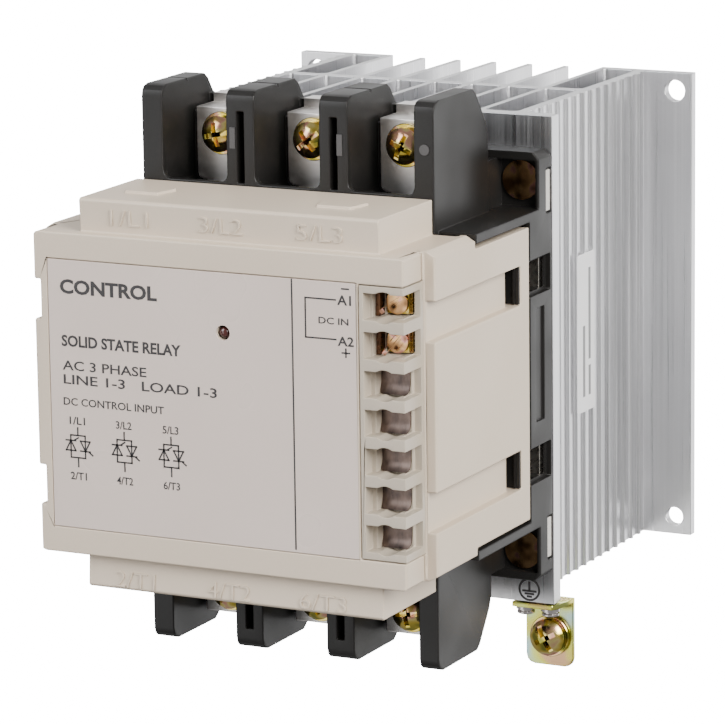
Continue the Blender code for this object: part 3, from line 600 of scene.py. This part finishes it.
# printing on the front film: generic words in the places that a maker would use, and the circuit
nameplate = dict(
    plane=-167.0, proud=0.05, line=0.4,
    words=(  # words, left, right, low, high, boldness
        ("CONTROL", -44.5, -16.5, 26.0, 29.8, 0.034),
        ("SOLID STATE RELAY", -44.4, -10.0, 12.4, 15.4, 0.03),
        ("AC 3 PHASE", -44.3, -20.0, 6.3, 8.8, 0.012),
        ("LINE 1-3   LOAD 1-3", -44.1, 0.0, 2.7, 5.2, 0.012),
        ("DC CONTROL INPUT", -44.3, -15.2, -2.8, -0.8, 0.012),
        ("A1", 34.0, 37.8, 29.1, 31.6, 0.02), ("A2", 34.0, 38.4, 18.9, 21.3, 0.02),
        ("DC IN", 28.8, 37.0, 24.1, 25.8, 0.012)),
    poles=(("1/L1", "2/T1"), ("3/L2", "4/T2"), ("5/L3", "6/T3")), firstPole=-40.4, polePitch=13.5,
    markAbove=(-2.3, 2.2, -7.7, -5.7), markBelow=(-2.4, 2.3, -22.1, -20.1), markWeight=0.012,
    # two thyristors side by side, one each way, between the pole's two leads
    symbol=(((0, -8.5), (0, -10.5)), ((0, -16.3), (0, -18.6)),
            ((-2.1, -10.5), (2.1, -10.5), (2.1, -16.3), (-2.1, -16.3), (-2.1, -10.5)),
            ((-3.5, -14.5), (-0.7, -14.5), (-2.1, -11.9), (-3.5, -14.5)),
            ((-3.5, -11.9), (-0.7, -11.9)), ((-0.9, -11.7), (0.1, -11.1)),
            ((0.7, -11.9), (3.5, -11.9), (2.1, -14.5), (0.7, -11.9)),
            ((0.7, -14.5), (3.5, -14.5)), ((3.3, -14.7), (4.2, -15.4))),
    # the dividing line, the bracket that joins A1 and A2, a minus and a plus
    lines=(((21.5, -33.8), (21.5, 34.5)), ((33.5, 30.3), (25.2, 30.3), (25.2, 20.4), (33.5, 20.4)),
           ((35.3, 33.2), (37.1, 33.2)), ((35.2, 17.2), (37.2, 17.2)), ((36.2, 16.2), (36.2, 18.2))))


def makeNameplatePrint(look):
    bm = bmesh.new()
    plane, proud, line = look["plane"], look["proud"], look["line"]
    for words, left, right, low, high, weight in look["words"]:
        addWords(bm, words, left, right, low, high, plane, proud, weight)
    for pole, marks in enumerate(look["poles"]):
        x = look["firstPole"] + pole * look["polePitch"]
        for mark, (left, right, low, high) in zip(marks, (look["markAbove"], look["markBelow"])):
            addWords(bm, mark, x + left, x + right, low, high, plane, proud, look["markWeight"])
        for path in look["symbol"]:
            addPath(bm, [(x + across, z) for across, z in path], line, plane, proud)
    for path in look["lines"]:
        addPath(bm, path, line, plane, proud)
    closedPiece("nameplatePrint", bm, "blackInk")


makeNameplatePrint(nameplate)


# raised terminal marks moulded into the cover's two strips, which lean back from their outer edge
coverMarks = dict(plane=-164.6, proud=0.36, tall=4.0, weight=-0.012, lean=0.6 / 9.3, edge=49.9, rows=(
    (43.9, (("1/L1", -30.8, -20.1), ("3/L2", -5.4, 6.6), ("5/L3", 21.7, 34.4))),
    (-49.6, (("2/T1", -31.8, -20.4), ("4/T2", -5.1, 7.0), ("6/T3", 21.0, 34.0)))))


def makeCoverMarks(look):
    bm = bmesh.new()
    for low, marks in look["rows"]:
        for words, left, right in marks:
            addWords(bm, words, left, right, low, low + look["tall"], look["plane"], look["proud"],
                     look["weight"])
    for vert in bm.verts:
        vert.co.y += look["lean"] * (look["edge"] * mm - abs(vert.co.z))
    closedPiece("coverMarks", bm, "beigePolycarbonate")


makeCoverMarks(coverMarks)


# the protective earth sign, printed on the heatsink above the earth terminal: a stem over three bars
earthSign = dict(plane=-85.2, proud=0.05, centre=(47.9, -61.6), radius=2.85, line=0.58, stem=(1.9, -0.2),
                 bars=((0.4, 1.8), (1.15, 1.1), (1.9, 0.45)))


def makeEarthSign(look):
    bm = bmesh.new()
    x, z = look["centre"]
    plane, proud, line = look["plane"], look["proud"], look["line"]
    addRing(bm, look["centre"], look["radius"], line, plane, proud)
    addPath(bm, [(x, z + rise) for rise in look["stem"]], line, plane, proud)
    for drop, half in look["bars"]:
        addPath(bm, ((x - half, z - drop), (x + half, z - drop)), line, plane, proud)
    closedPiece("earthSign", bm, "blackInk")


makeEarthSign(earthSign)


# grey bars on the side label, in the place of its wording
stickerBars = dict(face=47.0, proud=0.04, bars=((-47.6, -46.2, -17.5, 2.0), (-43.9, -42.5, -17.5, -9.3),
                                                (-43.9, -42.5, -7.6, 17.5)))


def makeStickerBars(look):
    bm = bmesh.new()
    for front, back, low, high in look["bars"]:
        boxMesh(bm, (look["face"] - sunk, look["face"] + look["proud"]), (front, back), (low, high))
    closedPiece("stickerBars", bm, "greyInk")


makeStickerBars(stickerBars)


# hooks of the base that fill the cover's four latch windows
latchHooks = dict(inner=50.4, outer=54.7, front=-105.7, back=-105.05, low=19.4, high=28.9,
                  rib=(53.2, 53.7, 0.5), ribFoot=0.1)


def makeLatchHooks(look):
    bm = bmesh.new()
    near, far, rise = look["rib"]
    for side in (-1, 1):
        for sign in (-1, 1):
            x = sorted((side * look["inner"], side * look["outer"]))
            z = sorted((sign * look["low"], sign * look["high"]))
            boxMesh(bm, x, (look["front"], look["back"]), z)
            boxMesh(bm, sorted((side * near, side * far)),
                    (look["front"] - rise, look["front"] + look["ribFoot"]), z)
    closedPiece("latchHooks", bm, "blackPolyamide")


makeLatchHooks(latchHooks)


# small moulded pads and the round boss on the fronts of the upper barriers
barrierPads = dict(plane=-133.7, proud=0.25, pads=((-12.9, -11.4, 59.9, 65.3), (17.6, 19.1, 59.9, 65.3)),
                   boss=(42.0, 62.8), bossRadius=1.35, bossStep=12, sharpFrom=40)


def makeBarrierPads(look):
    bm = bmesh.new()
    for left, right, low, high in look["pads"]:
        addOutline(bm, ((left, low), (right, low), (right, high), (left, high)), look["plane"], look["proud"])
    x, z = look["boss"]
    radius = look["bossRadius"]
    addOutline(bm, [(x + radius * math.cos(math.radians(a)), z + radius * math.sin(math.radians(a)))
                    for a in range(0, 360, look["bossStep"])], look["plane"], look["proud"])
    closedPiece("barrierPads", bm, "wornPolyamide", look["sharpFrom"])


makeBarrierPads(barrierPads)
print("printing, marks and hooks made")


turnedParts = dict(
    steps=56, sharpFrom=35, washerInner=2.7, washerOuter=5.6, washerThick=1.0, washerEdge=0.18,
    rivet=((0, 0), (1.2, 0), (1.2, 6.9), (2.5, 6.9), (2.6, 7.0), (2.6, 7.7), (1.95, 7.8), (1.95, 8.2),
           (2.3, 8.3), (2.35, 8.5), (2.3, 8.9), (1.9, 9.1), (0, 9.15)),
    lensStem=0.9, lensShoulder=17.9, lensRadius=1.55, lensDome=23.3, lensRise=1.4)


def turnedPiece(node, name, material, profile, outward="front", ring=False):
    # a profile of (radius, height) in millimetres, from the rear end outwards, turned about the node's axis
    low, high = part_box(node)
    middle = (low + high) / 2
    bm = bmesh.new()
    verts = [bm.verts.new((radius * mm, 0, height * mm)) for radius, height in profile]
    edges = [bm.edges.new(pair) for pair in zip(verts, verts[1:] + verts[:1] if ring else verts[1:])]
    bmesh.ops.spin(bm, geom=verts + edges, axis=(0, 0, 1), angle=2 * math.pi, steps=turnedParts["steps"],
                   use_duplicate=False)
    bmesh.ops.remove_doubles(bm, verts=bm.verts, dist=pieceWeld)
    bmesh.ops.recalc_face_normals(bm, faces=bm.faces)
    tilt = math.pi / 2 if outward == "front" else math.pi
    place = (middle.x, high.y, middle.z) if outward == "front" else (middle.x, middle.y, high.z)
    bm.transform(Matrix.Translation(place) @ Matrix.Rotation(tilt, 4, "X"))
    mesh = bpy.data.meshes.new(name)
    bm.to_mesh(mesh)
    bm.free()
    shadeSmooth(mesh, turnedParts["sharpFrom"])
    return keepPiece(meshPiece(name, mesh, finish[material]), node)


def washerProfile(look):
    inner, outer, thick, edge = (look["washer" + key] for key in ("Inner", "Outer", "Thick", "Edge"))
    return ((inner + edge, 0), (outer - edge, 0), (outer, edge), (outer, thick - edge), (outer - edge, thick),
            (inner + edge, thick), (inner, thick - edge), (inner, edge))


def lensProfile(look):
    stem, shoulder, radius = look["lensStem"], look["lensShoulder"], look["lensRadius"]
    angles = [math.radians(a) for a in range(0, 91, 10)]
    dome = [(radius * math.cos(a), look["lensDome"] + look["lensRise"] * math.sin(a)) for a in angles]
    return [(0, 0), (stem, 0), (stem, shoulder), (radius, shoulder)] + dome


for node in [name for name in nodes if name.startswith("washer_") or name == "earth_washer"]:
    turnedPiece(node, "turned_" + node, "yellowChromate", washerProfile(turnedParts), ring=True)
for number in (1, 2):
    turnedPiece(f"earth_rivet_{number}", f"earthRivet{number}", "zincSteel", turnedParts["rivet"], "down")
turnedPiece("status_led", "statusLens", "redLens", lensProfile(turnedParts))
for node in ("control_clamp_a1", "control_clamp_a2"):
    softened(node, "soft_" + node, width=0.15)
softened("heatsink_sticker", "sideLabel", width=0.08)
print("turned pieces made")


def newTree(name, inputs, output):
    # a Geometry Nodes tree with its named inputs, given as kind of socket: labels
    tree = bpy.data.node_groups.new(name, "GeometryNodeTree")
    for kind, labels in inputs.items():
        for label in labels:
            tree.interface.new_socket(label, in_out="INPUT", socket_type="NodeSocket" + kind)
    tree.interface.new_socket(output, in_out="OUTPUT", socket_type="NodeSocketGeometry")
    return tree, addNode(tree, "NodeGroupInput")


screwSizes = ("Head Radius", "Head Height", "Crown", "Collar Radius", "Recess Reach", "Recess Width",
              "Recess Depth", "Slot Width", "Slot Depth", "Shank Radius", "Shank Length", "Pitch")
screwKinds = dict(  # seat is the height of the CAD head; sizes are in millimetres, in the order of screwSizes
    main=dict(seat=3.5, finish="yellowChromate",
              sizes=(4.75, 3.5, 2.0, 4.5, 6.2, 1.25, 1.9, 1.3, 1.0, 2.1, 12.3, 0.8)),
    earth=dict(seat=3.5, finish="yellowChromate",
               sizes=(4.9, 3.5, 2.0, 5.15, 6.4, 1.3, 1.9, 1.4, 1.0, 2.1, 9.8, 0.8)),
    base=dict(seat=3.6, finish="rosyChromate",
              sizes=(4.9, 4.1, 2.8, 5.15, 4.6, 0.9, 1.6, 0.9, 0.3, 2.1, 12.3, 0.8)),
    control=dict(seat=3.2, finish="rosyChromate",
                 sizes=(3.6, 4.8, 0.9, 2.9, 4.8, 1.05, 1.6, 1.1, 0.9, 1.5, 7.0, 0.6)))
screwPlaces = dict(  # kind and how far each is turned, in degrees
    screw_line_1=("main", 12), screw_line_2=("main", 38), screw_line_3=("main", 65),
    screw_load_1=("main", 150), screw_load_2=("main", 20), screw_load_3=("main", 96),
    earth_screw=("earth", 118), control_screw_a1=("control", 35), control_screw_a2=("control", 52),
    base_screw_upper_left=("base", 10), base_screw_upper_right=("base", 40),
    base_screw_lower_left=("base", 75), base_screw_lower_right=("base", 130))
# what all screws share: how steeply the dome falls off, the cutters' reach, the collar and the thread's ridge
screwShape = dict(domePower=2.6, slotReach=2.4, collarThick=0.6, collarLift=0.35, ridgeShare=0.36,
                  headSides=56, shankSides=32, ridgeSides=3, turnSteps=20)


def screwTree(shape):
    # one pressed screw: domed head with cross and slot, collar, shank and a wound thread ridge
    inputs = {"Float": screwSizes + ("Spin",), "Vector": ("Place",), "Material": ("Finish",)}
    tree, given = newTree("combiScrew", inputs, "Screw")
    blank = addNode(tree, "GeometryNodeMeshCylinder",
                    {"Vertices": shape["headSides"], "Side Segments": 3, "Fill Segments": 12},
                    {"Radius": (given, "Head Radius"), "Depth": (given, "Head Height")})
    spot = addNode(tree, "GeometryNodeInputPosition")
    flat = addNode(tree, "ShaderNodeVectorMath", {"operation": "MULTIPLY", 1: (1, 1, 0)}, {0: (spot, 0)})
    reach = addNode(tree, "ShaderNodeVectorMath", {"operation": "LENGTH"}, {0: (flat, 0)})
    parts = addNode(tree, "ShaderNodeSeparateXYZ", None, {0: (spot, 0)})
    values = {label: (given, label) for label in inputs["Float"]}
    values["reach"] = (reach, "Value")
    values["level"] = (parts, "Z")
    # the dome falls with a power of the distance from the middle, all of it at the top and none at the foot
    for name, operation, first, second in (
            ("outness", "DIVIDE", "reach", "Head Radius"),
            ("curve", "POWER", "outness", shape["domePower"]),
            ("fall", "MULTIPLY", "curve", "Crown"),
            ("height", "DIVIDE", "level", "Head Height"),
            ("share", "ADD", "height", 0.5),
            ("drop", "MULTIPLY", "fall", "share"),
            ("half", "MULTIPLY", "Head Height", 0.5),
            ("lift", "SUBTRACT", "half", "drop"),
            ("slotReach", "MULTIPLY", "Head Radius", shape["slotReach"]),
            ("recessCut", "MULTIPLY", "Recess Depth", 2.0),
            ("slotCut", "MULTIPLY", "Slot Depth", 2.0),
            ("shankMiddle", "MULTIPLY", "Shank Length", -0.5),
            ("shankFoot", "MULTIPLY", "Shank Length", -1.0),
            ("turns", "DIVIDE", "Shank Length", "Pitch"),
            ("ridge", "MULTIPLY", "Pitch", shape["ridgeShare"])):
        settings = {"operation": operation}
        links = {}
        for socket, value in enumerate((first, second)):
            if isinstance(value, str):
                links[socket] = values[value]
            else:
                settings[socket] = value
        values[name] = (addNode(tree, "ShaderNodeMath", settings, links), 0)
    offset = addNode(tree, "ShaderNodeCombineXYZ", None, {"Z": values["lift"]})
    head = addNode(tree, "GeometryNodeSetPosition", None, {"Geometry": (blank, 0), "Offset": (offset, 0)})
    top = addNode(tree, "ShaderNodeCombineXYZ", None, {"Z": values["Head Height"]})
    recess = addNode(tree, "GeometryNodeMeshBoolean", {"operation": "DIFFERENCE"}, {0: (head, 0)})
    for length, width, depth, turn in (("Recess Reach", "Recess Width", "recessCut", 0.0),
                                       ("Recess Reach", "Recess Width", "recessCut", math.pi / 2),
                                       ("slotReach", "Slot Width", "slotCut", 0.0)):
        size = addNode(tree, "ShaderNodeCombineXYZ", None,
                       {"X": values[length], "Y": values[width], "Z": values[depth]})
        cutter = addNode(tree, "GeometryNodeMeshCube", None, {"Size": (size, 0)})
        placed = addNode(tree, "GeometryNodeTransform", {"Rotation": (0, 0, turn)},
                         {"Geometry": (cutter, 0), "Translation": (top, 0)})
        tree.links.new(placed.outputs[0], recess.inputs[1])
    collar = addNode(tree, "GeometryNodeMeshCylinder",
                     {"Vertices": shape["headSides"], "Depth": shape["collarThick"] * mm},
                     {"Radius": (given, "Collar Radius")})
    raised = addNode(tree, "GeometryNodeTransform", {"Translation": (0, 0, shape["collarLift"] * mm)},
                     {"Geometry": (collar, 0)})
    shank = addNode(tree, "GeometryNodeMeshCylinder", {"Vertices": shape["shankSides"]},
                    {"Radius": (given, "Shank Radius"), "Depth": (given, "Shank Length")})
    middle = addNode(tree, "ShaderNodeCombineXYZ", None, {"Z": values["shankMiddle"]})
    hung = addNode(tree, "GeometryNodeTransform", None, {"Geometry": (shank, 0), "Translation": (middle, 0)})
    helix = addNode(tree, "GeometryNodeCurveSpiral", {"Resolution": shape["turnSteps"]},
                    {"Rotations": values["turns"], "Start Radius": (given, "Shank Radius"),
                     "End Radius": (given, "Shank Radius"), "Height": (given, "Shank Length")})
    ridge = addNode(tree, "GeometryNodeCurvePrimitiveCircle", {"Resolution": shape["ridgeSides"]},
                    {"Radius": values["ridge"]})
    wound = addNode(tree, "GeometryNodeCurveToMesh", {"Fill Caps": True},
                    {"Curve": (helix, 0), "Profile Curve": (ridge, 0)})
    foot = addNode(tree, "ShaderNodeCombineXYZ", None, {"Z": values["shankFoot"]})
    thread = addNode(tree, "GeometryNodeTransform", None, {"Geometry": (wound, 0), "Translation": (foot, 0)})
    whole = addNode(tree, "GeometryNodeJoinGeometry")
    for part in (recess, raised, hung, thread):
        tree.links.new(part.outputs[0], whole.inputs[0])
    spin = addNode(tree, "ShaderNodeCombineXYZ", None, {"Z": (given, "Spin")})
    turned = addNode(tree, "GeometryNodeTransform", None, {"Geometry": (whole, 0), "Rotation": (spin, 0)})
    stood = addNode(tree, "GeometryNodeTransform", {"Rotation": (math.pi / 2, 0, 0)},
                    {"Geometry": (turned, 0), "Translation": (given, "Place")})
    coated = addNode(tree, "GeometryNodeSetMaterial", None,
                     {"Geometry": (stood, 0), "Material": (given, "Finish")})
    real = addNode(tree, "GeometryNodeRealizeInstances", None, {0: (coated, 0)})
    addNode(tree, "NodeGroupOutput", None, {"Screw": (real, 0)})
    return tree


def grown(name, tree, values, sharpFrom=33):
    # a Geometry Nodes tree run once with these inputs, then kept as a plain mesh
    made = meshPiece(name, bpy.data.meshes.new(name))
    step = made.modifiers.new("build", "NODES")
    step.node_group = tree
    for socket in tree.interface.items_tree:
        if socket.in_out == "INPUT":
            step[socket.identifier] = values[socket.name]
    settled(made)
    shadeSmooth(made.data, sharpFrom)
    return made


def makeScrews(kinds, places):
    tree = screwTree(screwShape)
    for node, (kind, spin) in places.items():
        look = kinds[kind]
        low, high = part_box(node)
        seat = low.y + look["seat"] * mm
        values = {"Place": ((low.x + high.x) / 2, seat, (low.z + high.z) / 2), "Spin": math.radians(spin),
                  "Finish": finish[look["finish"]]}
        for label, size in zip(screwSizes, look["sizes"]):
            values[label] = size * mm
        keepPiece(grown("combi_" + node, tree, values), node)


makeScrews(screwKinds, screwPlaces)
print("screws made")


def blankTree():
    # strips of rolled metal in the five unused control slots, each with its foot curled forward
    inputs = {"Int": ("Count",), "Float": ("Pitch", "Curl", "Foot Taper", "Curl Power", "Taper Power"),
              "Vector": ("First", "Size"), "Material": ("Finish",)}
    tree, given = newTree("blankContacts", inputs, "Contacts")
    strip = addNode(tree, "GeometryNodeMeshCube", {"Vertices X": 14, "Vertices Y": 3, "Vertices Z": 20},
                    {"Size": (given, "Size")})
    spot = addNode(tree, "GeometryNodeInputPosition")
    parts = addNode(tree, "ShaderNodeSeparateXYZ", None, {0: (spot, 0)})
    # how far below the strip's middle, from 0 there to 1 at its foot
    size = addNode(tree, "ShaderNodeSeparateXYZ", None, {0: (given, "Size")})
    twice = addNode(tree, "ShaderNodeMath", {"operation": "MULTIPLY", 1: -2.0}, {0: (parts, "Z")})
    depth = addNode(tree, "ShaderNodeMath", {"operation": "DIVIDE", "use_clamp": True},
                    {0: (twice, 0), 1: (size, "Z")})
    bend = addNode(tree, "ShaderNodeMath", {"operation": "POWER"},
                   {0: (depth, 0), 1: (given, "Curl Power")})
    forward = addNode(tree, "ShaderNodeMath", {"operation": "MULTIPLY"}, {0: (bend, 0), 1: (given, "Curl")})
    backward = addNode(tree, "ShaderNodeMath", {"operation": "MULTIPLY", 1: -1.0}, {0: (forward, 0)})
    corner = addNode(tree, "ShaderNodeMath", {"operation": "POWER"},
                     {0: (depth, 0), 1: (given, "Taper Power")})
    narrow = addNode(tree, "ShaderNodeMath", {"operation": "MULTIPLY"},
                     {0: (corner, 0), 1: (given, "Foot Taper")})
    pull = addNode(tree, "ShaderNodeMath", {"operation": "MULTIPLY"}, {0: (narrow, 0), 1: (parts, "X")})
    inward = addNode(tree, "ShaderNodeMath", {"operation": "MULTIPLY", 1: -1.0}, {0: (pull, 0)})
    offset = addNode(tree, "ShaderNodeCombineXYZ", None, {"X": (inward, 0), "Y": (backward, 0)})
    curled = addNode(tree, "GeometryNodeSetPosition", None, {"Geometry": (strip, 0), "Offset": (offset, 0)})
    down = addNode(tree, "ShaderNodeMath", {"operation": "MULTIPLY", 1: -1.0}, {0: (given, "Pitch")})
    step = addNode(tree, "ShaderNodeCombineXYZ", None, {"Z": (down, 0)})
    row = addNode(tree, "GeometryNodeMeshLine", {"mode": "OFFSET"},
                  {"Count": (given, "Count"), "Start Location": (given, "First"), "Offset": (step, 0)})
    spread = addNode(tree, "GeometryNodeInstanceOnPoints", None,
                     {"Points": (row, 0), "Instance": (curled, 0)})
    real = addNode(tree, "GeometryNodeRealizeInstances", None, {0: (spread, 0)})
    coated = addNode(tree, "GeometryNodeSetMaterial", None,
                     {"Geometry": (real, 0), "Material": (given, "Finish")})
    addNode(tree, "NodeGroupOutput", None, {"Contacts": (coated, 0)})
    return tree


# the strips' finish is darkened to paint the shade in their pockets
blankContacts = {"Count": 5, "Pitch": 9.72 * mm, "Curl": 1.3 * mm, "Curl Power": 2.0, "Foot Taper": 0.16,
                 "Taper Power": 8.0,
                 "First": (46.3 * mm, -159.9 * mm, 9.76 * mm), "Size": (7.8 * mm, 0.5 * mm, 6.4 * mm),
                 "Finish": finish["shadedNickelSilver"]}
keepPiece(grown("blankContacts", blankTree(), blankContacts), None, "root")
print("blank contacts made")


# the clamp cage beside each fitted control screw, dark with painted shade, and the tinned tails over the
# shelf behind the main bars
shadedControlCages = dict(x=(41.9, 43.0), y=(-161.6, -159.0), heights=(29.16, 19.44), half=3.1)
barTails = dict(poles=(-23.25, 3.25, 29.75), half=7.6, y=(-108.9, -103.6), z=(67.2, 69.75))


def makeFormedStrips(cages, tails):
    bm = bmesh.new()
    for z in cages["heights"]:
        boxMesh(bm, cages["x"], cages["y"], (z - cages["half"], z + cages["half"]))
    # the cages' dark brown paints the shade on the clamps deep in the two wells
    closedPiece("shadedControlCages", bm, "shadowedBronzeCage")
    bm = bmesh.new()
    for x in tails["poles"]:
        for sign in (-1, 1):
            z = sorted(sign * edge for edge in tails["z"])
            boxMesh(bm, (x - tails["half"], x + tails["half"]), tails["y"], z)
    closedPiece("barTails", bm, "tinnedCopper")


makeFormedStrips(shadedControlCages, barTails)
print("cages and tails made")

# CAD nodes that are right as they are, or hidden inside, keep their mesh and get their finish
for node, made in nodes.items():
    if not made.hide_render:
        made.data.materials[0] = finish[slotFinish[slotOf[node]]]
